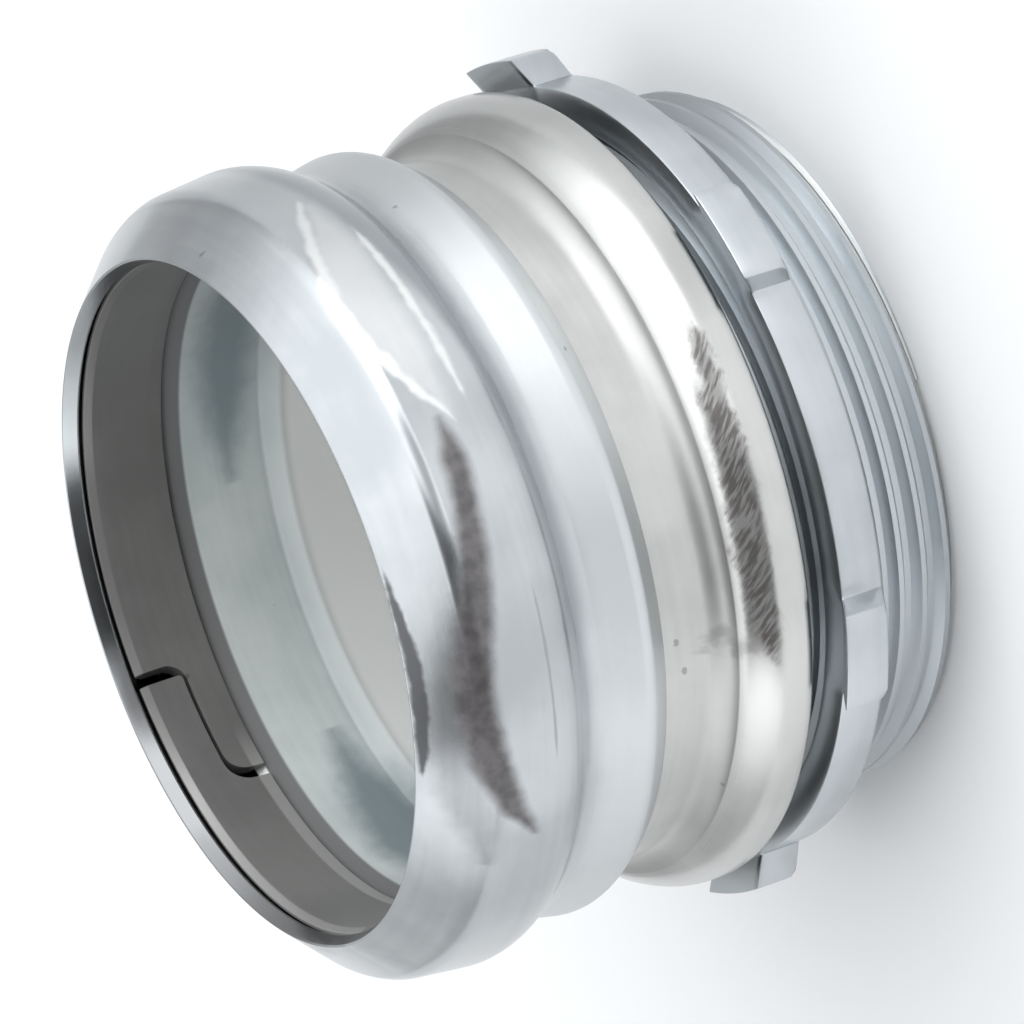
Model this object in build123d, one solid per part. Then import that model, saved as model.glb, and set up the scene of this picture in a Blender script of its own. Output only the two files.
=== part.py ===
from build123d import *
import os
from math import cos, radians, sin, tan

# Compression connector, 2 inch trade size, for thin-walled electrical conduit.
# It stands on its threaded end: +Z runs along the axis, from the box end up to the mouth
# that takes the conduit, and the origin is the centre of the threaded end face.
# Lengths are in millimetres, and radii and heights are measured from that axis and face.

# Conduit that the fitting grips, of the 2 inch trade size
conduit_od = 55.80
conduit_wall = 1.65

# Clearances, all radial unless they say otherwise
socket_clearance = 0.30
ring_clearance = 0.45
mouth_clearance = 0.70
throat_clearance = 0.10
thread_clearance = 0.10
bevel_gap = 0.12

# Body: walls of its tube under the crests of its threads
box_thread_wall = 3.65
nut_thread_wall = 2.00

# Body: lengths of its stretches, from the threaded end up
box_thread_length = 16.30
shoulder_width = 6.15
waist_width = 2.20
nut_thread_length = 17.95
socket_depth = 9.90
stop_height = 1.10
seat_length = 2.20

# Body: shoulder, waist, seat and edges
shoulder_rise = 4.00
shoulder_crest_height = 2.10
shoulder_round = 1.30
shoulder_wall = 2.80
crease_rise = 1.75
groove_floor_width = 1.20
groove_mouth_width = 3.20
seat_depth = 1.40
rim_chamfer = 0.50
end_chamfer = 0.80
throat_chamfer = 0.60

# Compression nut: lip, cone and walls
nut_length = 22.15
nut_wall = 1.60
lip_face = 0.60
lip_depth = 1.30
cone_angle = 45.0
nut_tapping_length = 6.60
nut_relief = 0.35
nut_relief_length = 1.30

# Compression nut: corners of its two beads and the valley between, before they are rounded
cone_foot_rise = 3.40
front_bead_rise = 4.20
front_bead_height = 10.65
valley_rise = 1.55
valley_height = 7.50
back_bead_rise = 2.75
back_bead_height = 2.10
nut_end_rise = 1.25
cone_foot_round = 2.50
front_bead_round = 4.50
valley_round = 3.00
back_bead_round = 1.50

# Compression ring
ring_length = 7.45
ring_wall = 1.40
ring_front_face = 0.30
ring_back_face = 0.40
ring_edge = 0.25
ring_front_land = 0.70
ring_back_land = 1.30
split_angle = 108.5
split_reach = 11.00
split_gap = 1.10
split_slit = 0.35
split_height = 3.15
split_large_round = 1.80
split_small_round = 0.35

# Locknut
locknut_thickness = 4.40
locknut_rim = 3.60
locknut_gap = 2.80
locknut_chamfer = 0.60
locknut_edge = 0.25
lug_count = 6
lug_rise = 2.60
lug_bend = 1.30
lug_chamfer = 1.00
lug_tip_angle = 14.0
lug_root_angle = 15.0
lug_start_angle = -3.8

# Radii worked out from the conduit
socket_r = conduit_od / 2 + socket_clearance
ring_r = conduit_od / 2 + ring_clearance
mouth_r = conduit_od / 2 + mouth_clearance
throat_r = conduit_od / 2 - conduit_wall + throat_clearance
box_thread_r = throat_r + box_thread_wall
nut_thread_r = socket_r + nut_thread_wall
crest_r = nut_thread_r + shoulder_rise
crease_r = nut_thread_r + crease_rise

# Heights of the body, then of the locknut below its shoulder
shoulder_z = box_thread_length
crease_z = shoulder_z + shoulder_width
waist_z = crease_z + waist_width
rim_z = waist_z + nut_thread_length
stop_z = rim_z - socket_depth
seat_z = rim_z - seat_length
locknut_front_z = shoulder_z - locknut_gap
locknut_back_z = locknut_front_z - locknut_thickness

# The ring rests on the body's seat, and the nut's cone on the ring, each a bevel gap away.
seat_slope = seat_depth / seat_length
cone_slope = tan(radians(cone_angle))
ring_back_r = ring_r + ring_edge + ring_back_face
ring_front_r = ring_r + ring_edge + ring_front_face
ring_back_z = seat_z + (ring_back_r + bevel_gap - socket_r) / seat_slope
ring_front_z = ring_back_z + ring_length
lip_z = ring_front_z + (ring_front_r - mouth_r) / cone_slope + bevel_gap / cos(radians(cone_angle))
nut_front_z = lip_z + lip_depth
nut_back_z = nut_front_z - nut_length


def at(r, z):
    """Point of a radial section, at radius r and height z."""
    return (r, 0, z)


def turned(*outline):
    """Solid of revolution about the axis from the closed outline of its radial section."""
    return revolve(make_face(outline), Axis.Z)


def corner_at(face, r, z):
    """The corner of a radial section nearest to radius r and height z."""
    return face.vertices().sort_by_distance(at(r, z))[0]


def connector_body():
    """One formed tube: box thread, rounded shoulder, smooth waist, nut thread, seat, socket and throat."""
    crest_z = shoulder_z + shoulder_crest_height
    back = Polyline(
        at(throat_r + throat_chamfer, 0),
        at(box_thread_r - end_chamfer, 0),
        at(box_thread_r, end_chamfer),
        at(box_thread_r, shoulder_z),
        at(crest_r - shoulder_round, shoulder_z),
    )
    back_round = TangentArc(
        at(crest_r - shoulder_round, shoulder_z),
        at(crest_r, shoulder_z + shoulder_round),
        tangent=(1, 0, 0),
    )
    crest = Line(at(crest_r, shoulder_z + shoulder_round), at(crest_r, crest_z))
    front_round = TangentArc(at(crest_r, crest_z), at(crease_r, crease_z), tangent=(0, 0, 1))
    waist = TangentArc(at(nut_thread_r, waist_z), at(crease_r, crease_z), tangent=(0, 0, -1))
    # The shoulder is a rolled bead, so it is hollow inside: its groove keeps the wall's thickness.
    groove_r = crest_r - shoulder_wall
    groove_z = shoulder_z + shoulder_wall
    front = Polyline(
        at(nut_thread_r, waist_z),
        at(nut_thread_r, rim_z - rim_chamfer),
        at(socket_r + seat_depth, rim_z),
        at(socket_r, seat_z),
        at(socket_r, stop_z),
        at(throat_r, stop_z - stop_height),
        at(throat_r, groove_z + groove_mouth_width),
        at(groove_r, groove_z + groove_floor_width),
        at(groove_r, groove_z),
        at(throat_r, groove_z),
        at(throat_r, throat_chamfer),
        at(throat_r + throat_chamfer, 0),
    )
    return turned(back, back_round, crest, front_round, waist, front)


def compression_nut():
    """Formed nut: rolled-in lip, cone, two rounded beads with a valley between, and a tapped back end."""
    bore_r = nut_thread_r + thread_clearance
    lip_r = mouth_r + lip_face
    cone_foot_r = nut_thread_r + cone_foot_rise
    cone_foot = (cone_foot_r, nut_front_z - (cone_foot_r - lip_r) / cone_slope)
    front_bead = (nut_thread_r + front_bead_rise, nut_back_z + front_bead_height)
    valley = (nut_thread_r + valley_rise, nut_back_z + valley_height)
    back_bead = (nut_thread_r + back_bead_rise, nut_back_z + back_bead_height)
    # Inside, the wall follows the cone and the front bead, and the thread takes the rest.
    hollow_r = front_bead[0] - nut_wall
    hollow_z = lip_z - (hollow_r - mouth_r) / cone_slope
    tapping_z = nut_back_z + nut_relief_length
    tapping_end_z = tapping_z + nut_tapping_length
    section = make_face(
        Polyline(
            at(mouth_r, lip_z),
            at(lip_r, nut_front_z),
            at(*cone_foot),
            at(*front_bead),
            at(*valley),
            at(*back_bead),
            at(nut_thread_r + nut_end_rise, nut_back_z),
            at(bore_r + nut_relief, nut_back_z),
            at(bore_r + nut_relief, tapping_z),
            at(bore_r, tapping_z + nut_relief),
            at(bore_r, tapping_end_z),
            at(hollow_r, tapping_end_z + hollow_r - bore_r),
            at(hollow_r, hollow_z),
            close=True,
        )
    )
    for corner, rounding in (
        (cone_foot, cone_foot_round),
        (front_bead, front_bead_round),
        (valley, valley_round),
        (back_bead, back_bead_round),
    ):
        section = fillet(corner_at(section, *corner), rounding)
    return revolve(section, Axis.Z)


def ring_split():
    """Cutter for the ring's stepped split: a gap at each end, joined by a narrow slit round the ring."""
    reach = ring_r * sin(radians(split_reach))
    slit_z = ring_back_z + split_height
    past_front = ring_front_z + ring_wall
    past_back = ring_back_z - ring_wall
    near = reach - split_gap / 2
    far = reach + split_gap / 2
    outline = Polyline(
        (-far, past_front),
        (-near, past_front),
        (-near, slit_z + split_slit),
        (far, slit_z + split_slit),
        (far, past_back),
        (near, past_back),
        (near, slit_z),
        (-far, slit_z),
        close=True,
    )
    # The slit turns into the gaps in large rounds, apart from the tip of the front tongue.
    shape = make_face(outline)
    for x, z, rounding in (
        (-near, slit_z + split_slit, split_small_round),
        (far, slit_z + split_slit, split_large_round + split_slit),
        (near, slit_z, split_large_round),
        (-far, slit_z, split_large_round),
    ):
        shape = fillet(shape.vertices().sort_by_distance((x, z))[0], rounding)
    outward = Plane(origin=(0, 0, 0), x_dir=(-1, 0, 0), z_dir=(0, 1, 0))
    cutter = extrude(outward * shape, amount=ring_r + 2 * ring_wall)
    return Rot(0, 0, split_angle - 90) * cutter


def compression_ring():
    """Split ring between the nut's cone and the body's seat, bevelled to match each of them."""
    outer_r = ring_r + ring_wall
    ring = turned(
        Polyline(
            at(ring_r, ring_back_z + ring_back_land),
            at(ring_r + ring_edge, ring_back_z),
            at(ring_back_r, ring_back_z),
            at(outer_r, ring_back_z + (outer_r - ring_back_r) / seat_slope),
            at(outer_r, ring_front_z - (outer_r - ring_front_r) / cone_slope),
            at(ring_front_r, ring_front_z),
            at(ring_r + ring_edge, ring_front_z),
            at(ring_r, ring_front_z - ring_front_land),
            close=True,
        )
    )
    return ring - ring_split()


def lug_outline(inner_r, outer_r):
    """Plan of one lug about the X axis: wider at its root than at its tip."""
    half_root = radians(lug_root_angle / 2)
    half_tip = radians(lug_tip_angle / 2)
    root = (inner_r * cos(half_root), inner_r * sin(half_root))
    tip = (outer_r * cos(half_tip), outer_r * sin(half_tip))
    middle = (outer_r, 0)
    sides = Polyline((tip[0], -tip[1]), (root[0], -root[1]), root, tip)
    return make_face([sides, ThreePointArc(tip, middle, (tip[0], -tip[1]))])


def locknut():
    """Thick stamped ring with a threaded bore, and lugs bent towards the shoulder."""
    bore_r = box_thread_r + thread_clearance
    rim_r = box_thread_r + locknut_rim
    lug_r = rim_r + lug_rise
    bite_r = rim_r - locknut_chamfer
    ring = turned(
        Polyline(
            at(bore_r + locknut_chamfer, locknut_back_z),
            at(rim_r - locknut_chamfer, locknut_back_z),
            at(rim_r, locknut_back_z + locknut_chamfer),
            at(rim_r, locknut_front_z - locknut_edge),
            at(rim_r - locknut_edge, locknut_front_z),
            at(bore_r + locknut_chamfer, locknut_front_z),
            at(bore_r, locknut_front_z - locknut_chamfer),
            at(bore_r, locknut_back_z + locknut_chamfer),
            close=True,
        )
    )
    # The lugs are cut from one dished flange, which is what gives them their bend.
    dished = turned(
        Polyline(
            at(bite_r, locknut_back_z + locknut_chamfer),
            at(lug_r - lug_chamfer, locknut_back_z + lug_bend),
            at(lug_r, locknut_back_z + lug_bend + lug_chamfer),
            at(lug_r, locknut_front_z + lug_bend - locknut_edge),
            at(lug_r - locknut_edge, locknut_front_z + lug_bend),
            at(bite_r, locknut_front_z - locknut_edge),
            close=True,
        )
    )
    plan = Pos(0, 0, locknut_back_z) * lug_outline(bite_r, lug_r + locknut_edge)
    wedge = extrude(plan, amount=locknut_thickness + lug_bend)
    lugs = dished & wedge
    for turn in range(lug_count):
        angle = lug_start_angle + turn * 360 / lug_count
        ring += Rot(0, 0, angle) * lugs
    return ring


os.makedirs("parts", exist_ok=True)
nodes = {
    "connector_body": connector_body(),
    "compression_nut": compression_nut(),
    "compression_ring": compression_ring(),
    "locknut": locknut(),
}
for name, solid in nodes.items():
    export_step(solid, f"parts/{name}.step")
    print(name, round(solid.volume, 1), solid.bounding_box().size)
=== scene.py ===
from math import atan2, copysign, degrees, pi, radians, sin, tan

import bmesh
import bpy
from mathutils import Matrix, Vector


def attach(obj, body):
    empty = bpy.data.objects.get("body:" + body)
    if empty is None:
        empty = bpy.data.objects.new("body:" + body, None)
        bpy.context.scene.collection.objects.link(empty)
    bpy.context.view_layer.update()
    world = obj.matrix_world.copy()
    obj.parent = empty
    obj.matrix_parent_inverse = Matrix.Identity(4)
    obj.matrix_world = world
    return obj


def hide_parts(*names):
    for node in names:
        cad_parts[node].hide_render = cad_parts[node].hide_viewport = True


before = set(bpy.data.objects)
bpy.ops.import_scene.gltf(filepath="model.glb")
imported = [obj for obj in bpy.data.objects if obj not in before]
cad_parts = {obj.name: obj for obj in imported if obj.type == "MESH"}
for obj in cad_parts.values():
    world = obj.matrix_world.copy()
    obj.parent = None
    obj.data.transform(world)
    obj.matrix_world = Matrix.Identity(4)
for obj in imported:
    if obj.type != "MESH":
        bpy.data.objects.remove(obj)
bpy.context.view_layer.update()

# Camera: a long lens on the near side of the fitting, looking down at it by 26 degrees and
# into its mouth. The camera is rolled, so that the fitting lies on its side in the picture
# with its mouth to the lower left, as the photograph has it.
camera_place = Vector((0.00006, -0.5982, 0.3113))
camera_drop = 25.62
camera_roll = -108.235
camera_lens = 281.25
camera_film = 36
camera_reach = (0.01, 20)

camera_data = bpy.data.cameras.new("camera")
camera_data.lens = camera_lens
camera_data.sensor_width = camera_film
camera_data.clip_start, camera_data.clip_end = camera_reach
camera = bpy.data.objects.new("camera", camera_data)
bpy.context.collection.objects.link(camera)
camera.matrix_world = (
    Matrix.Translation(camera_place)
    @ Matrix.Rotation(radians(90 - camera_drop), 4, "X")
    @ Matrix.Rotation(radians(camera_roll), 4, "Z")
)
bpy.context.scene.camera = camera
bpy.context.scene.view_settings.view_transform = "Standard"


# Light: one soft box over the picture's upper side, and a pale surround that is brighter on
# the near side. The surround is dim behind the camera, as a studio is, and that dim screen is
# what the rounded shoulders of the steel mirror as their dark streaks.
class Value:
    """A number that changes over a surface: a shader socket that takes part in plain sums."""

    def __init__(self, nodes, socket):
        self.nodes = nodes
        self.socket = socket

    def sum_with(self, operation, *values):
        inputs = dict(enumerate(values))
        return self.nodes.add("ShaderNodeMath", {"operation": operation}, inputs)

    def __add__(self, other):
        return self.sum_with("ADD", self, other)

    def __radd__(self, other):
        return self.sum_with("ADD", other, self)

    def __sub__(self, other):
        return self.sum_with("SUBTRACT", self, other)

    def __rsub__(self, other):
        return self.sum_with("SUBTRACT", other, self)

    def __mul__(self, other):
        return self.sum_with("MULTIPLY", self, other)

    def __rmul__(self, other):
        return self.sum_with("MULTIPLY", other, self)

    def __truediv__(self, other):
        return self.sum_with("DIVIDE", self, other)

    def __abs__(self):
        return self.sum_with("ABSOLUTE", self)


class Nodes:
    """The node tree of one finish or of the light around the fitting."""

    def __init__(self, tree):
        self.tree = tree
        tree.nodes.clear()

    def add(self, kind, settings, inputs, output=0):
        """A new node: its type, its settings, and the values or links of its sockets."""
        node = self.tree.nodes.new(kind)
        for name, value in settings.items():
            if name == "stops":
                self.set_stops(node.color_ramp, value)
            else:
                setattr(node, name, value)
        for name, value in inputs.items():
            self.feed(node.inputs[name], value)
        return Value(self, node.outputs[output]) if node.outputs else None

    def set_stops(self, color_ramp, stops):
        color_ramp.interpolation = "CARDINAL"
        for _ in stops[2:]:
            color_ramp.elements.new(1.0)
        for element, (place, colour) in zip(color_ramp.elements, stops):
            element.position = place
            element.color = (*colour, 1.0)

    def feed(self, socket, value):
        if isinstance(value, Value):
            self.tree.links.new(value.socket, socket)
        else:
            socket.default_value = value

    def ramp(self, value, low, high):
        """0 below low, 1 above high, and a smooth rise between them."""
        return self.add(
            "ShaderNodeMapRange",
            {"interpolation_type": "SMOOTHSTEP"},
            {"Value": value, "From Min": low, "From Max": high},
        )

    def blend(self, factor, first, second):
        """The colour first where factor is 0 and second where it is 1."""
        return self.add(
            "ShaderNodeMix",
            {"data_type": "RGBA"},
            {"Factor": factor, "A": first, "B": second},
            output="Result",
        )

    def follow(self, value, stops):
        """A colour that goes smoothly through its stops, as value goes from first to last."""
        first, last = stops[0][0], stops[-1][0]
        placed = [((place - first) / (last - first), colour) for place, colour in stops]
        share = (value - first) * (1 / (last - first))
        return self.add("ShaderNodeValToRGB", {"stops": placed}, {"Fac": share}, output="Color")

    def noise(self, place, scale, detail):
        inputs = {"Vector": place, "Scale": scale, "Detail": detail}
        return self.add("ShaderNodeTexNoise", {}, inputs)


fitting_middle = Vector((0, 0, 0.025))
box_place = Vector((0.62, -0.45, 0.25))
box_size = (0.5, 0.6)
box_power = 0.78

box_data = bpy.data.lights.new("top_box", "AREA")
box_data.shape = "RECTANGLE"
box_data.size, box_data.size_y = box_size
box_data.energy = box_power
box = bpy.data.objects.new("top_box", box_data)
bpy.context.collection.objects.link(box)
box_turn = (fitting_middle - box_place).to_track_quat("-Z", "Y")
box.matrix_world = Matrix.Translation(box_place) @ box_turn.to_matrix().to_4x4()

world = bpy.data.worlds.new("studio")
world.use_nodes = True
bpy.context.scene.world = world
studio = Nodes(world.node_tree)
toward = studio.add("ShaderNodeTexCoord", {}, {}, output="Generated")


def facing(direction):
    """How nearly the light comes from one direction: 1 straight from it, -1 from behind."""
    aim = tuple(Vector(direction).normalized())
    return studio.add(
        "ShaderNodeVectorMath", {"operation": "DOT_PRODUCT"}, {0: toward, 1: aim}, output="Value"
    )


# Each pair says where a part of the surround begins to show and where it is full.
screen_left, screen_right = (-0.56, -0.38), (0.38, 0.54)
screen_foot, screen_head = (-0.88, -0.76), (-0.02, 0.22)
screen_front = (0.0, 0.2)
screen_darkness = 0.95
darkest_way, darkest_edge, darkest_share = (0.30, -0.86, 0.28), (0.955, 0.99), 0.7
near_way, near_edge, near_gain = (0.0, -0.90, 0.43), (-0.35, 0.45), 1.00
upper_way, upper_edge, upper_gain = (0.76, -0.54, 0.36), (0.25, 0.98), 0.30
far_strength = 0.70
surround_colour = (0.96, 0.98, 1.0, 1.0)

picture_right, picture_up, picture_back = camera.matrix_world.to_3x3().col
rightward = facing(picture_right)
upward = facing(picture_up)
screen_width = studio.ramp(rightward, *screen_left) * (1 - studio.ramp(rightward, *screen_right))
screen_height = studio.ramp(upward, *screen_foot) * (1 - studio.ramp(upward, *screen_head))
dark_screen = screen_width * screen_height * studio.ramp(facing(picture_back), *screen_front)
screen_peak = studio.ramp(facing(darkest_way), *darkest_edge)
near_side = studio.ramp(facing(near_way), *near_edge)
upper_side = studio.ramp(facing(upper_way), *upper_edge)
strength = far_strength + near_gain * near_side + upper_gain * upper_side
strength = strength * (1 - screen_darkness * dark_screen) * (1 - darkest_share * screen_peak)
surround = studio.add(
    "ShaderNodeBackground", {}, {"Color": surround_colour, "Strength": strength}
)
studio.add("ShaderNodeOutputWorld", {}, {"Surface": surround})


# Floor: a plain sheet of pale paper that the fitting stands on, on its threaded end. It is
# part of the studio and not of the fitting.
floor_reach = 3.0
paper_grain = 6.0
paper_dull = (0.90, 0.90, 0.90, 1.0)
paper_bright = (0.93, 0.93, 0.93, 1.0)
paper_roughness = 0.9

floor_mesh = bpy.data.meshes.new("floor")
floor_bm = bmesh.new()
bmesh.ops.create_grid(floor_bm, x_segments=1, y_segments=1, size=floor_reach)
floor_bm.to_mesh(floor_mesh)
floor_bm.free()
floor = bpy.data.objects.new("floor", floor_mesh)
bpy.context.collection.objects.link(floor)


def finish(name):
    """A new material: its tree, its shader's sockets, and the place of each point on the piece."""
    material = bpy.data.materials.new(name)
    material.use_nodes = True
    nodes = Nodes(material.node_tree)
    shader = nodes.add("ShaderNodeBsdfPrincipled", {}, {})
    nodes.add("ShaderNodeOutputMaterial", {}, {"Surface": shader})
    place = nodes.add("ShaderNodeTexCoord", {}, {}, output="Object")
    return material, nodes, shader.socket.node.inputs, place


floor_paint, floor_nodes, floor_sockets, floor_place = finish("floor_paper")
paper = floor_nodes.noise(floor_place, scale=paper_grain, detail=4.0)
floor_nodes.feed(floor_sockets["Base Color"], floor_nodes.blend(paper, paper_dull, paper_bright))
floor_nodes.feed(floor_sockets["Roughness"], paper_roughness)
floor_mesh.materials.append(floor_paint)


# Connector body: one tube of steel, formed and rolled, with the rounded shoulder, the waist and
# the stop, and two rolled threads: the coarse box thread behind the shoulder and a finer one
# under the nut. It is zinc plated all over. Sizes are in millimetres from the threaded end.
mm = 0.001
turn_steps = 256
thread_steps = 96
thread_sink = 0.3
smooth_angle = 28.0
conduit_r = 27.9
socket_r = conduit_r + 0.3
throat_r = 26.35
box_thread_r = 30.0
nut_thread_r = 30.2
shoulder_z = 16.3
crease_z = 22.45
rim_z = 42.6
stop_z = 32.7
seat_z = 40.4
crest_r = 34.2
crest_z = 21.05
crease_r = 31.95
groove_r = 31.4
groove_low_z = 19.1
groove_high_z = 20.3
box_thread_depth = 0.8
box_pitch = 25.4 / 11.5
box_tip_width = 0.45
fine_depth = 0.5
fine_pitch = 25.4 / 16
fine_tip_width = 0.5
core_r = box_thread_r - box_thread_depth
fine_core_r = nut_thread_r - fine_depth

body_dull = (0.54, 0.54, 0.525, 1.0)
body_bright = (0.68, 0.68, 0.665, 1.0)
thread_tone = (0.62, 0.66, 0.69, 1.0)
inner_dull = (0.60, 0.66, 0.66, 1.0)
inner_bright = (0.80, 0.84, 0.83, 1.0)
throat_light_tone = (0.95, 0.95, 0.925, 1.0)
stop_shade_tone = (0.45, 0.47, 0.47, 1.0)
seat_shade_tone = (0.13, 0.125, 0.125, 1.0)
socket_shade_tone = (0.17, 0.23, 0.255, 1.0)
wear_and_reflection_tone = (0.15, 0.135, 0.128, 1.0)
pit_tone = (0.18, 0.18, 0.18, 1.0)
side_shade_tone = (0.10, 0.105, 0.11, 1.0)


def rounded_outline(corners):
    """A closed outline of radius and height from (radius, height, rounding) corners."""
    bm = bmesh.new()
    points = [Vector((r * mm, 0, z * mm)) for r, z, _ in corners]
    verts = [bm.verts.new(p) for p in points]
    for first, second in zip(verts, verts[1:] + verts[:1]):
        bm.edges.new((first, second))
    count = len(points)
    for index, (_, _, rounding) in enumerate(corners):
        if rounding:
            before = points[index] - points[index - 1]
            after = points[(index + 1) % count] - points[index]
            swing = before.angle(after)
            bmesh.ops.bevel(
                bm,
                geom=[verts[index]],
                offset=rounding * mm * tan(swing / 2),
                offset_type="OFFSET",
                affect="VERTICES",
                segments=max(2, round(degrees(swing) / 6)),
                profile=0.5,
                material=-1,
            )
    return bm


def swing_round(bm, angle):
    """Turns everything in bm about the axis, by an angle in degrees."""
    matrix = Matrix.Rotation(radians(angle), 3, "Z")
    bmesh.ops.rotate(bm, cent=(0, 0, 0), matrix=matrix, verts=bm.verts[:])


def turn(bm, steps=turn_steps, start=0.0):
    """Turns the outline in bm right round the axis into a closed ring."""
    swing_round(bm, start)
    bmesh.ops.spin(
        bm,
        geom=bm.verts[:] + bm.edges[:],
        cent=(0, 0, 0),
        axis=(0, 0, 1),
        angle=2 * pi,
        steps=steps,
        use_merge=True,
    )
    bmesh.ops.remove_doubles(bm, verts=bm.verts[:], dist=0.0001 * mm)
    bmesh.ops.recalc_face_normals(bm, faces=bm.faces[:])


def thread(root_r, tip_r, pitch, tip_width, low_z, high_z, start):
    """One screw thread as a closed ridge: its section wound up the axis, sunk into its wall."""
    half_root = 0.475 * pitch
    sunk_r = root_r + copysign(thread_sink, root_r - tip_r)
    section = (
        (sunk_r, -half_root),
        (sunk_r, half_root),
        (tip_r, tip_width / 2),
        (tip_r, -tip_width / 2),
    )
    bm = bmesh.new()
    first = bm.faces.new([bm.verts.new((r * mm, 0, (low_z + z) * mm)) for r, z in section])
    swing_round(bm, start)
    turns = (high_z - low_z) / pitch
    steps = round(thread_steps * turns)
    bmesh.ops.spin(
        bm,
        geom=bm.verts[:] + bm.edges[:] + [first],
        cent=(0, 0, 0),
        axis=(0, 0, 1),
        dvec=(0, 0, (high_z - low_z) * mm / steps),
        angle=2 * pi * turns,
        steps=steps,
    )
    return bm


def fade(bm, sunk_r, low_z, high_z, run):
    """Lets a thread sink into its wall at its two ends."""
    for vert in bm.verts:
        radius = vert.co.xy.length / mm
        height = vert.co.z / mm
        share = max(0.0, min(1.0, (height - low_z) / run, (high_z - height) / run))
        vert.co.xy *= (sunk_r + (radius - sunk_r) * share) / radius


def hold_between(bm, low_z, high_z):
    """Flattens what reaches past two levels down to them."""
    for vert in bm.verts:
        vert.co.z = min(max(vert.co.z, low_z * mm), high_z * mm)


def settle(name, shells, material):
    """Makes the finished object of a piece, with sharp edges where its faces meet at an angle."""
    mesh = bpy.data.meshes.new(name)
    whole = bmesh.new()
    for shell in shells:
        bmesh.ops.recalc_face_normals(shell, faces=shell.faces[:])
        shell.to_mesh(mesh)
        whole.from_mesh(mesh)
        shell.free()
    bmesh.ops.dissolve_degenerate(whole, dist=0.0001 * mm, edges=whole.edges[:])
    for edge in whole.edges:
        shallow = degrees(edge.calc_face_angle(0.0)) < smooth_angle
        edge.smooth = len(edge.link_faces) == 2 and shallow
    for face in whole.faces:
        face.smooth = True
    whole.to_mesh(mesh)
    whole.free()
    mesh.materials.append(material)
    piece = bpy.data.objects.new(name, mesh)
    bpy.context.collection.objects.link(piece)
    return piece


class Plating:
    """Zinc plating on a turned piece: cloudy and fine-grained, with faint lines round the axis.

    level and radius are in millimetres and angle is in degrees round the axis, so that a mark is
    placed on the piece as it would be with a rule and a protractor.
    """

    def __init__(self, name, dull, bright, roughness):
        self.material, self.nodes, self.sockets, place = finish(name)
        self.cloud = self.nodes.noise(place, scale=70.0, detail=5.0)
        self.speckle = self.nodes.noise(place, scale=1300.0, detail=4.0)
        self.fleck = self.nodes.noise(place, scale=600.0, detail=8.0)
        round_axis = self.nodes.add(
            "ShaderNodeMapping", {}, {"Vector": place, "Scale": (60.0, 60.0, 1400.0)}
        )
        self.drawn = self.nodes.noise(round_axis, scale=1.0, detail=3.0)
        self.shade = self.nodes.ramp(0.85 * self.cloud + 0.15 * self.drawn, 0.35, 0.65)
        self.colour = self.nodes.blend(self.shade, dull, bright)
        self.rough = roughness + 0.14 * self.cloud + 0.05 * self.drawn - 0.10
        self.height = self.cloud + 0.12 * self.drawn + 0.12 * self.speckle
        self.metal = 1.0
        pores = self.nodes.add(
            "ShaderNodeTexVoronoi", {}, {"Vector": place, "Scale": 150.0}, output="Distance"
        )
        self.pits = 1 - self.nodes.ramp(pores + 0.14 * (self.speckle - 0.5), 0.025, 0.045)
        self.across, away, up = (
            self.nodes.add("ShaderNodeSeparateXYZ", {}, {"Vector": place}, output=way)
            for way in ("X", "Y", "Z")
        )
        self.level = up * 1000.0
        self.angle = away.sum_with("ARCTAN2", away, self.across) * (180 / pi)
        flat = self.nodes.add("ShaderNodeCombineXYZ", {}, {"X": self.across, "Y": away})
        reach = self.nodes.add(
            "ShaderNodeVectorMath", {"operation": "LENGTH"}, {0: flat}, output="Value"
        )
        self.radius = reach * 1000.0

    def above(self, low, high):
        """0 below the level low, 1 above the level high, and a smooth rise between them."""
        return self.nodes.ramp(self.level, low, high)

    def stroke(self, stops, soft, ragged):
        """A mark that runs round the piece through stops of (angle, level, half its width)."""
        course = self.nodes.follow(
            self.angle, [(angle, (level / 100, width / 10, 0)) for angle, level, width in stops]
        )
        level, width = (
            self.nodes.add("ShaderNodeSeparateColor", {}, {"Color": course}, output=channel) * unit
            for channel, unit in (("Red", 100.0), ("Green", 10.0))
        )
        gap = abs(self.level - level) + ragged * (self.fleck - 0.5)
        inside = self.nodes.ramp(width - gap, -0.5 * soft, 0.5 * soft)
        return inside * self.nodes.ramp(width, 0.0, 0.1)

    def tint(self, mask, colour):
        """Lays a colour over the plating, as strong as mask."""
        self.colour = self.nodes.blend(mask, self.colour, colour)

    def done(self, bump, shaded):
        """Paints shade over the two sides a little, as far as shaded says, and joins all to the
        shader.
        """
        sideways = self.across * 1000.0 / self.radius
        # Painted shade: the two sides darkened, the +x side more than the -x side.
        self.tint(shaded * self.nodes.ramp(sideways, 0.50, 1.0), side_shade_tone)
        self.tint(0.6 * shaded * self.nodes.ramp(0.0 - sideways, 0.50, 1.0), side_shade_tone)
        self.nodes.feed(self.sockets["Base Color"], self.colour)
        self.nodes.feed(self.sockets["Roughness"], self.rough)
        self.nodes.feed(self.sockets["Metallic"], self.metal)
        normal = self.nodes.add(
            "ShaderNodeBump", {}, {"Height": self.height, "Strength": bump, "Distance": 0.1 * mm}
        )
        self.nodes.feed(self.sockets["Normal"], normal)
        return self.material


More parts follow.
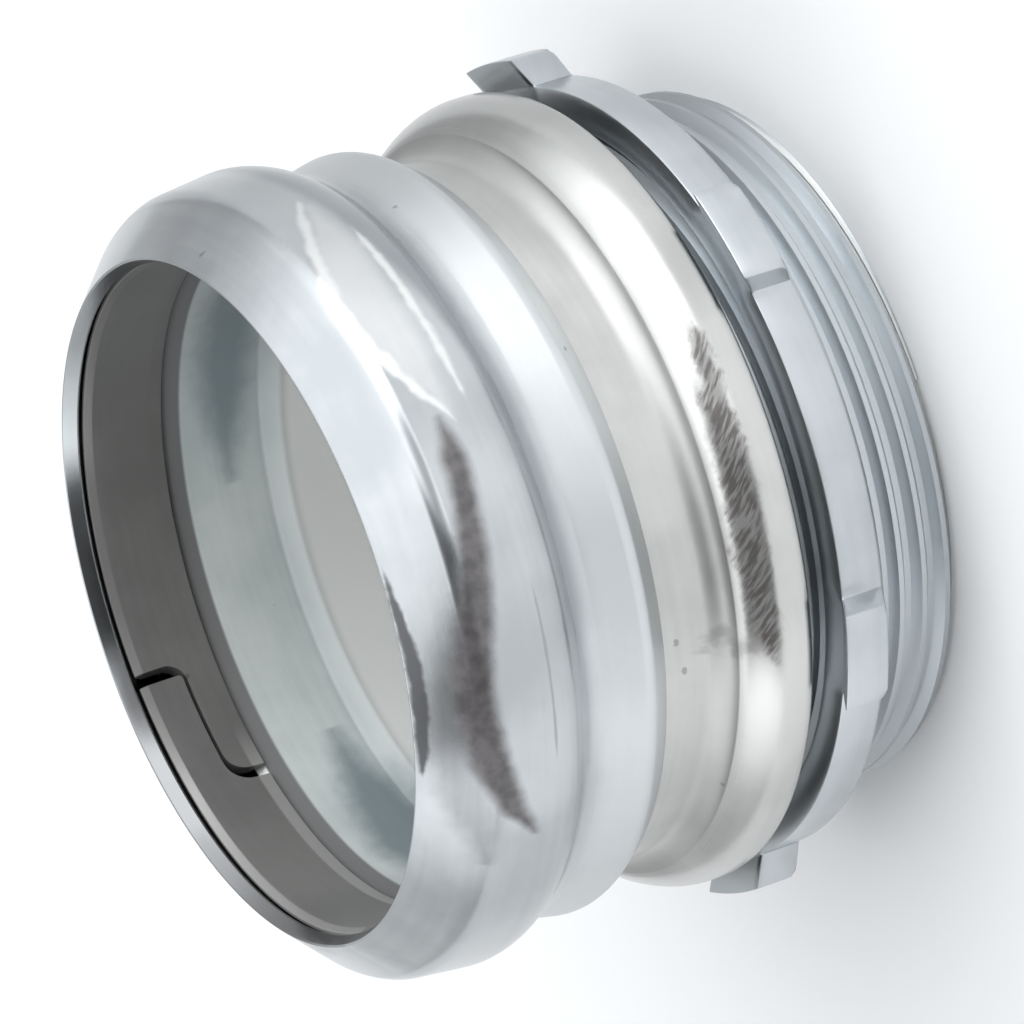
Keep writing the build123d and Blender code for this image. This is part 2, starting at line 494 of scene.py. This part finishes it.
body_plating = Plating("zinc_body_plating", body_dull, body_bright, roughness=0.24)
thread_zone = 1 - body_plating.above(shoulder_z - 0.7, shoulder_z - 0.1)
waist_zone = body_plating.above(crease_z - 0.55, crease_z + 0.15)
inner_zone = 1 - body_plating.nodes.ramp(body_plating.radius, 29.0, 29.1)
throat_zone = inner_zone * (1 - body_plating.above(stop_z - 2.2, stop_z - 0.2))
stop_zone = inner_zone * (1 - body_plating.above(stop_z - 0.3, stop_z + 0.7))
stop_zone = stop_zone * body_plating.above(stop_z - 2.1, stop_z - 0.9)
seat_zone = body_plating.above(seat_z - 0.2, seat_z + 0.1) * inner_zone
inner_colour = body_plating.nodes.blend(body_plating.shade, inner_dull, inner_bright)
body_plating.tint(0.9 * thread_zone, thread_tone)
body_plating.tint(inner_zone, inner_colour)
# Painted light: the throat deep inside is laid nearly white, where it is lit.
body_plating.tint(0.9 * throat_zone, throat_light_tone)
# Painted shade: the stop is darkened a little.
body_plating.tint(0.35 * stop_zone, stop_shade_tone)
# Painted shade: the seat in the recess behind the ring is laid nearly black.
body_plating.tint(0.92 * seat_zone, seat_shade_tone)
body_plating.rough = body_plating.rough + 0.22 * waist_zone + 0.14 * thread_zone
body_plating.rough = body_plating.rough + 0.16 * inner_zone

# Painted shade inside the socket: two dark patches, towards its two sides.
upper_socket_shade = body_plating.stroke(
    ((15, 36.0, 0.0), (26, 36.0, 2.2), (40, 36.0, 2.6), (54, 36.0, 2.0), (70, 36.0, 0.0)),
    soft=3.5,
    ragged=1.6,
)
lower_socket_shade = body_plating.stroke(
    ((116, 35.0, 0.0), (126, 35.0, 1.6), (136, 35.0, 2.8), (150, 35.0, 3.4), (170, 35.0, 0.0)),
    soft=3.5,
    ragged=1.6,
)
body_plating.tint((0.75 * upper_socket_shade + 0.80 * lower_socket_shade) * inner_zone, socket_shade_tone)

# The dark streak along the shoulder, partly painted reflection of the dim screen and partly
# wear, hatched with fine slanting scratches, and a smudge of dirt on the waist.
shoulder_reflection_and_wear = body_plating.stroke(
    (
        (-123, 20.1, 0.0),
        (-119, 20.5, 0.7),
        (-108, 20.9, 1.0),
        (-94, 20.7, 1.1),
        (-84, 20.4, 0.9),
        (-77, 19.9, 0.6),
        (-71, 19.6, 0.0),
    ),
    soft=0.9,
    ragged=2.2,
)
along_scratch = body_plating.level * 2.6 + body_plating.angle * 1.1
across_scratch = body_plating.level * 0.3 - body_plating.angle * 0.2
slant = body_plating.nodes.add(
    "ShaderNodeCombineXYZ", {}, {"X": along_scratch, "Y": across_scratch}
)
hatch = body_plating.nodes.noise(slant, scale=1.0, detail=3.0)
smudge = body_plating.stroke(
    ((-122, 22.8, 0.0), (-120.5, 22.8, 2.6), (-118, 22.8, 2.4), (-116, 22.8, 0.0)),
    soft=1.6,
    ragged=2.0,
)
smudge = smudge * body_plating.nodes.ramp(body_plating.fleck, 0.38, 0.62)
# Painted reflection mixed with wear and dirt, laid over the plating.
wear_and_reflection = shoulder_reflection_and_wear * (0.40 + 0.5 * body_plating.nodes.ramp(hatch, 0.40, 0.58)) + 0.35 * smudge
body_plating.tint(wear_and_reflection, wear_and_reflection_tone)
body_plating.tint(0.5 * body_plating.pits, pit_tone)
body_plating.metal = 1 - 0.85 * inner_zone - 0.45 * shoulder_reflection_and_wear
body_finish = body_plating.done(bump=0.25, shaded=0.42)

# Up the outside: the threaded end, the shoulder, the crease and the waist, the front thread. Down
# the inside: the seat, the socket, the stop, the throat and the groove behind the shoulder.
body_bm = rounded_outline(
    (
        (throat_r + 0.6, 0, 0),
        (core_r - 0.9, 0, 0.2),
        (core_r, 0.9, 0),
        (core_r, shoulder_z, 0),
        (crest_r, shoulder_z, 1.3),
        (crest_r, crest_z, 4.6),
        (crease_r, crease_z, 0),
        (nut_thread_r, crease_z + 0.4, 2.2),
        (nut_thread_r, 28.6, 0),
        (fine_core_r, 29.1, 0),
        (fine_core_r, rim_z - 0.3, 0),
        (socket_r + 1.4, rim_z, 0.1),
        (socket_r, seat_z, 0.3),
        (socket_r, stop_z, 0.3),
        (throat_r, stop_z - 1.1, 0.4),
        (throat_r, groove_high_z + 2.0, 0.6),
        (groove_r, groove_high_z, 0.6),
        (groove_r, groove_low_z, 0.6),
        (throat_r, groove_low_z, 0.6),
        (throat_r, 0.6, 0),
    )
)
turn(body_bm)

box_thread = thread(core_r, box_thread_r, box_pitch, box_tip_width, -0.9, 16.6, start=-90.0)
fade(box_thread, core_r - thread_sink, -2.0, 17.0, run=1.2)
for vert in box_thread.verts:
    radius = vert.co.xy.length / mm
    vert.co.xy *= min(radius, core_r + max(vert.co.z / mm, 0.0)) / radius
hold_between(box_thread, 0.02, shoulder_z + 0.3)
nut_thread = thread(fine_core_r, nut_thread_r, fine_pitch, fine_tip_width, 29.8, 41.4, start=0.0)
fade(nut_thread, fine_core_r - thread_sink, 29.2, 42.2, run=0.8)

body_tube = settle("body_tube", (body_bm, box_thread, nut_thread), body_finish)
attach(body_tube, "connector_body")
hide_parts("connector_body")


# Compression ring: a band of spring steel, bevelled at both ends and cut through by a stepped
# split. It sits loose between the body's seat and the nut's cone, which squeeze it shut.
ring_r = conduit_r + 0.45
ring_outer_r = ring_r + 1.4
ring_back_z = 41.845
ring_front_z = 49.295
split_angle = 108.5
split_reach = 11.0
split_gap = 1.1
split_slit = 0.35
split_height = 3.15
split_overrun = 1.5

ring_dull = (0.20, 0.19, 0.187, 1.0)
ring_bright = (0.26, 0.248, 0.242, 1.0)
back_bevel_highlight_tone = (0.52, 0.51, 0.50, 1.0)
front_bevel_highlight_tone = (0.50, 0.49, 0.48, 1.0)
ring_pit_tone = (0.08, 0.08, 0.08, 1.0)

ring_plating = Plating("zinc_ring_plating", ring_dull, ring_bright, roughness=0.38)
ring_plating.metal = 0.3
back_bevel = 1 - ring_plating.above(ring_back_z + 1.1, ring_back_z + 1.4)
front_bevel = ring_plating.above(ring_front_z - 0.85, ring_front_z - 0.60)
below_split = ring_plating.nodes.ramp(ring_plating.angle, split_angle, split_angle + 12.0)
# Painted highlights: the bevels below the split laid pale, where they catch the light.
ring_plating.tint(0.7 * back_bevel * below_split, back_bevel_highlight_tone)
ring_plating.tint(front_bevel * (0.12 + 0.45 * below_split), front_bevel_highlight_tone)
ring_plating.tint(0.6 * ring_plating.pits, ring_pit_tone)
ring_finish = ring_plating.done(bump=0.15, shaded=0.3)

ring_bm = rounded_outline(
    (
        (ring_r, ring_back_z + 1.3, 0.2),
        (ring_r + 0.25, ring_back_z, 0.1),
        (ring_r + 0.65, ring_back_z, 0.1),
        (ring_outer_r, ring_back_z + 1.18, 0.1),
        (ring_outer_r, ring_front_z - 0.85, 0.1),
        (ring_r + 0.55, ring_front_z, 0.08),
        (ring_r + 0.25, ring_front_z, 0.08),
        (ring_r, ring_front_z - 0.7, 0.2),
    )
)
turn(ring_bm)


def grown_verts(grown):
    """The new vertices of an extrude."""
    return [v for v in grown["geom"] if isinstance(v, bmesh.types.BMVert)]


def loose_object(name, bm):
    """A passing object that only takes part in the cut of the split."""
    mesh = bpy.data.meshes.new(name)
    bm.to_mesh(mesh)
    bm.free()
    made = bpy.data.objects.new(name, mesh)
    bpy.context.collection.objects.link(made)
    return made


# The split as seen from outside: down from the front end, along the slit, down to the back end.
split_left = -ring_r * sin(radians(split_reach))
split_right = -split_left
slit_z = ring_back_z + split_height
cutter_bm = rounded_outline(
    (
        (split_left - split_gap / 2, ring_front_z + split_overrun, 0),
        (split_left + split_gap / 2, ring_front_z + split_overrun, 0),
        (split_left + split_gap / 2, slit_z + split_slit, 0.35),
        (split_right + split_gap / 2, slit_z + split_slit, 2.15),
        (split_right + split_gap / 2, ring_back_z - split_overrun, 0),
        (split_right - split_gap / 2, ring_back_z - split_overrun, 0),
        (split_right - split_gap / 2, slit_z, 1.8),
        (split_left - split_gap / 2, slit_z, 1.8),
    )
)
cut_face = bmesh.ops.contextual_create(cutter_bm, geom=cutter_bm.edges[:])["faces"]
grown = bmesh.ops.extrude_face_region(cutter_bm, geom=cut_face)
bmesh.ops.translate(cutter_bm, vec=(0, (ring_r + 3) * mm, 0), verts=grown_verts(grown))
bmesh.ops.scale(cutter_bm, vec=(-1, 1, 1), verts=cutter_bm.verts[:])
swing_round(cutter_bm, split_angle - 90)
bmesh.ops.recalc_face_normals(cutter_bm, faces=cutter_bm.faces[:])
cutter = loose_object("split_cutter", cutter_bm)
blank = loose_object("ring_blank", ring_bm)
cut = blank.modifiers.new("split", "BOOLEAN")
cut.operation = "DIFFERENCE"
cut.solver = "EXACT"
cut.object = cutter
bpy.context.view_layer.update()
cut_blank = blank.evaluated_get(bpy.context.evaluated_depsgraph_get())
split_bm = bmesh.new()
split_bm.from_mesh(bpy.data.meshes.new_from_object(cut_blank))
bpy.data.objects.remove(blank)
bpy.data.objects.remove(cutter)

split_ring = settle("split_ring", (split_bm,), ring_finish)
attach(split_ring, "compression_ring")
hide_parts("compression_ring")


# Compression nut: formed from one sheet of steel, with its lip rolled inwards to a cone that
# bears on the ring, two rounded beads for the grip of a wrench, and a tapped back end.
mouth_r = conduit_r + 0.7
nut_back_z = 28.95
nut_front_z = 51.1
nut_bore_r = nut_thread_r + 0.1
nut_tapped_r = nut_bore_r + 0.5
nut_tapped_length = 7.9
lip_z = 49.8
hollow_r = 32.8
cone_edge = (33.6, 46.7, 2.5)
front_bead = (34.4, 39.6, 4.5)
bead_valley = (31.75, 36.45, 3.0)
back_bead = (32.95, 31.05, 1.5)
back_edge = (31.45, nut_back_z, 0.2)

nut_dull = (0.46, 0.483, 0.497, 1.0)
nut_bright = (0.60, 0.623, 0.637, 1.0)
grip_tone = (0.82, 0.84, 0.85, 1.0)
valley_tone = (0.26, 0.285, 0.305, 1.0)
highlight_patch_tone = (0.93, 0.925, 0.91, 1.0)
highlight_line_tone = (0.97, 0.97, 0.96, 1.0)
halo_tone = (0.12, 0.12, 0.125, 1.0)
streak_dark_tone = (0.085, 0.077, 0.079, 1.0)
streak_pale_tone = (0.16, 0.146, 0.148, 1.0)
scratch_tone = (0.30, 0.31, 0.32, 1.0)
dirt_tone = (0.05, 0.05, 0.053, 1.0)
far_lip_tone = (0.17, 0.165, 0.165, 1.0)

nut_plating = Plating("zinc_nut_plating", nut_dull, nut_bright, roughness=0.22)
grip_zone = 1 - nut_plating.above(34.0, 36.5)
cone_zone = nut_plating.above(46.6, 47.8)
cone_shade = cone_zone * nut_plating.nodes.ramp(nut_plating.angle, -125.0, -80.0)
nut_plating.rough = nut_plating.rough + 0.16 * grip_zone
nut_plating.tint(0.5 * grip_zone, grip_tone)
nut_plating.tint(0.16 * cone_shade, side_shade_tone)

# The shade in the valley between the beads, deeper towards the picture's upper side.
valley = nut_plating.stroke(
    (
        (-135, 36.8, 0.0),
        (-110, 36.8, 0.5),
        (-85, 36.9, 0.8),
        (-65, 37.5, 1.3),
        (-50, 38.3, 2.0),
        (-35, 38.8, 2.6),
        (-20, 39.0, 3.2),
        (5, 39.0, 3.0),
        (28, 39.0, 0.0),
    ),
    soft=1.3,
    ragged=0.5,
)
nut_plating.tint(0.52 * valley, valley_tone)

# Painted highlights on the front bead: a bright patch between two bright lines.
highlight_patch = nut_plating.stroke(
    ((-76, 42.6, 0.0), (-66, 43.6, 1.5), (-55, 44.0, 2.2), (-44, 43.2, 1.7), (-33, 42.2, 0.0)),
    soft=1.6,
    ragged=0.8,
)
upper_highlight_line = nut_plating.stroke(
    (
        (-77, 42.2, 0.0),
        (-72, 43.6, 0.35),
        (-68, 44.8, 0.45),
        (-63, 45.7, 0.5),
        (-56, 46.2, 0.5),
        (-48, 45.7, 0.5),
        (-41, 44.5, 0.45),
        (-35, 43.3, 0.35),
        (-31, 42.4, 0.0),
    ),
    soft=0.6,
    ragged=0.9,
)
lower_highlight_line = nut_plating.stroke(
    ((-74, 40.9, 0.0), (-68, 40.9, 0.3), (-57, 40.9, 0.35), (-46, 40.9, 0.3), (-41, 40.9, 0.0)),
    soft=0.5,
    ragged=0.9,
)
# The painted highlights laid over the plating.
nut_plating.tint(0.42 * highlight_patch, highlight_patch_tone)
nut_plating.tint(0.75 * upper_highlight_line + 0.75 * lower_highlight_line, highlight_line_tone)

# The dark streak over the front bead, partly painted reflection of the dim screen and partly
# wear, with a softer dark halo beside it, partly painted reflection and partly brushing marks.
nut_reflection_and_wear = nut_plating.stroke(
    (
        (-137, 42.4, 0.0),
        (-132, 44.3, 0.9),
        (-126, 45.8, 1.3),
        (-119, 46.8, 1.4),
        (-113, 47.1, 1.4),
        (-106, 46.6, 1.4),
        (-100, 45.7, 1.3),
        (-94, 45.0, 1.2),
        (-87, 44.2, 1.0),
        (-80, 43.8, 0.9),
        (-74, 43.6, 0.0),
    ),
    soft=1.4,
    ragged=0.5,
)
halo_reflection_and_wear = nut_plating.stroke(
    (
        (-141, 46.5, 0.0),
        (-134, 47.4, 1.4),
        (-124, 47.9, 2.2),
        (-114, 48.3, 1.9),
        (-104, 47.6, 1.0),
        (-97, 47.0, 0.0),
    ),
    soft=2.4,
    ragged=1.2,
)
streak_grain = nut_plating.nodes.ramp(nut_plating.fleck, 0.35, 0.65)
# Painted reflection mixed with wear: the halo and the dark streak.
nut_plating.tint(halo_reflection_and_wear * (0.25 + 0.35 * nut_plating.drawn), halo_tone)
nut_plating.tint(0.92 * nut_reflection_and_wear, nut_plating.nodes.blend(streak_grain, streak_dark_tone, streak_pale_tone))
nut_plating.rough = nut_plating.rough + 0.15 * nut_reflection_and_wear

# A thin scratch behind the streak, dirt on the near edge of the lip, and the dull far edge.
nut_scratch = nut_plating.stroke(
    (
        (-126, 40.9, 0.0),
        (-122, 40.9, 0.11),
        (-112, 40.9, 0.13),
        (-103, 40.9, 0.11),
        (-98, 40.9, 0.0),
    ),
    soft=0.15,
    ragged=0.25,
)
lip_dirt = nut_plating.stroke(
    (
        (-127, 50.6, 0.0),
        (-121, 50.5, 0.35),
        (-113, 50.4, 0.45),
        (-105, 50.5, 0.4),
        (-98, 50.7, 0.25),
        (-91, 50.8, 0.0),
    ),
    soft=0.3,
    ragged=0.6,
)
far_lip = nut_plating.stroke(
    (
        (70, 50.0, 0.0),
        (95, 50.0, 0.8),
        (115, 50.0, 2.6),
        (142, 50.1, 2.2),
        (160, 50.3, 1.4),
        (174, 50.6, 0.0),
    ),
    soft=1.5,
    ragged=0.5,
)
nut_plating.tint(0.6 * nut_scratch, scratch_tone)
nut_plating.tint(0.85 * lip_dirt, dirt_tone)
nut_plating.tint(0.68 * far_lip, far_lip_tone)
nut_plating.tint(0.5 * nut_plating.pits, pit_tone)
nut_plating.metal = 1 - 0.55 * nut_reflection_and_wear - 0.6 * lip_dirt
nut_finish = nut_plating.done(bump=0.25, shaded=0.42 * (1 - 0.85 * cone_zone))

# Down the outside from the lip, then up the inside: the bore, the hollow and the cone that
# bears on the ring.
nut_bm = rounded_outline(
    (
        (mouth_r, lip_z, 0.15),
        (mouth_r + 0.6, nut_front_z, 0.15),
        cone_edge,
        front_bead,
        bead_valley,
        back_bead,
        back_edge,
        (nut_tapped_r + 0.35, nut_back_z, 0.2),
        (nut_tapped_r, nut_back_z + 1.3, 0),
        (nut_tapped_r, nut_back_z + nut_tapped_length, 0),
        (hollow_r, nut_back_z + 10.4, 1.0),
        (hollow_r, lip_z - hollow_r + mouth_r, 1.0),
    )
)
turn(nut_bm)
nut_tapping = thread(
    nut_tapped_r,
    nut_bore_r,
    fine_pitch,
    fine_tip_width,
    nut_back_z + 1.2,
    nut_back_z + nut_tapped_length + 0.1,
    start=0.0,
)
fade(nut_tapping, nut_tapped_r + thread_sink, nut_back_z + 0.6, nut_back_z + 8.6, run=1.0)

beaded_nut = settle("beaded_nut", (nut_bm, nut_tapping), nut_finish)
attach(beaded_nut, "compression_nut")
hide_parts("compression_nut")


# Locknut: a ring stamped from thick steel and tapped, with six lugs bent towards the shoulder,
# which bite into the box when it is driven round.
locknut_back_z = 9.1
locknut_front_z = 13.5
locknut_bore_r = box_thread_r + 0.1
locknut_tapped_r = locknut_bore_r + 0.6
locknut_rim_r = 33.6
locknut_chamfer = 0.6
lug_r = 36.2
lug_lift = 1.3
lug_stretch = 1.05
lug_count = 6
lug_roll = 1.0
lug_first = -3.8
lug_tip_angle = 14.0
lug_columns = 12
column_angle = 1.25
lug_root_angle = lug_columns * column_angle
edge_rounding = 0.18
edge_angle = 20

locknut_dull = (0.50, 0.53, 0.55, 1.0)
locknut_bright = (0.62, 0.65, 0.67, 1.0)
locknut_plating = Plating("zinc_locknut_plating", locknut_dull, locknut_bright, roughness=0.30)
locknut_finish = locknut_plating.done(bump=0.2, shaded=0.15)

locknut_bm = rounded_outline(
    (
        (locknut_tapped_r, locknut_back_z, 0),
        (locknut_rim_r - locknut_chamfer, locknut_back_z, 0),
        (locknut_rim_r, locknut_back_z + locknut_chamfer, 0),
        (locknut_rim_r, locknut_front_z, 0),
        (locknut_tapped_r, locknut_front_z, 0),
    )
)
turn(locknut_bm, steps=round(360 / column_angle), start=lug_first)


def from_lug(point):
    """Angle from the middle of the nearest lug, in degrees."""
    angle = degrees(atan2(point.y, point.x)) - lug_first
    spacing = 360 / lug_count
    return (angle + spacing / 2) % spacing - spacing / 2


def at_lug_root(face):
    """Whether a face of the rim grows into a lug."""
    centre = face.calc_center_median()
    on_rim = abs(face.normal.z) < 0.1 and centre.xy.length > (locknut_rim_r - 0.1) * mm
    return on_rim and abs(from_lug(centre)) < lug_root_angle / 2


lug_faces = [f for f in locknut_bm.faces if at_lug_root(f)]
lugs = bmesh.ops.extrude_face_region(locknut_bm, geom=lug_faces)
bmesh.ops.delete(locknut_bm, geom=lug_faces, context="FACES_ONLY")
tip_share = lug_tip_angle / lug_root_angle
lug_middle_z = (locknut_back_z + locknut_chamfer + locknut_front_z) / 2
for vert in grown_verts(lugs):
    swing = radians(from_lug(vert.co) * (tip_share - 1))
    spread = vert.co.z / mm - lug_middle_z
    vert.co = Matrix.Rotation(swing, 3, "Z") @ vert.co
    vert.co.xy *= lug_r / locknut_rim_r
    vert.co.z = (lug_middle_z + lug_lift + spread * lug_stretch) * mm


def round_off(edges, offset, segments):
    bmesh.ops.bevel(
        locknut_bm,
        geom=edges,
        offset=offset * mm,
        offset_type="OFFSET",
        affect="EDGES",
        segments=segments,
        profile=0.5,
        material=-1,
    )


def at_lug_corner(edge):
    """Whether an edge is the corner of a lug's tip that was rolled over by the bending."""
    return all(
        v.co.xy.length > (lug_r - 0.1) * mm and v.co.z < lug_middle_z * mm for v in edge.verts
    )


def is_sharp(edge):
    return len(edge.link_faces) == 2 and edge.calc_face_angle(0.0) > radians(edge_angle)


round_off([e for e in locknut_bm.edges if at_lug_corner(e)], lug_roll, segments=4)
bmesh.ops.recalc_face_normals(locknut_bm, faces=locknut_bm.faces[:])
round_off([e for e in locknut_bm.edges if is_sharp(e)], edge_rounding, segments=2)

locknut_tapping = thread(
    locknut_tapped_r,
    locknut_bore_r,
    box_pitch,
    box_tip_width,
    locknut_back_z + 0.9,
    locknut_front_z - 0.9,
    start=0.0,
)
fade(
    locknut_tapping,
    locknut_tapped_r + thread_sink,
    locknut_back_z - 0.3,
    locknut_front_z + 0.3,
    run=0.9,
)
hold_between(locknut_tapping, locknut_back_z + 0.02, locknut_front_z - 0.02)

lugged_locknut = settle("lugged_locknut", (locknut_bm, locknut_tapping), locknut_finish)
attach(lugged_locknut, "locknut")
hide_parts("locknut")
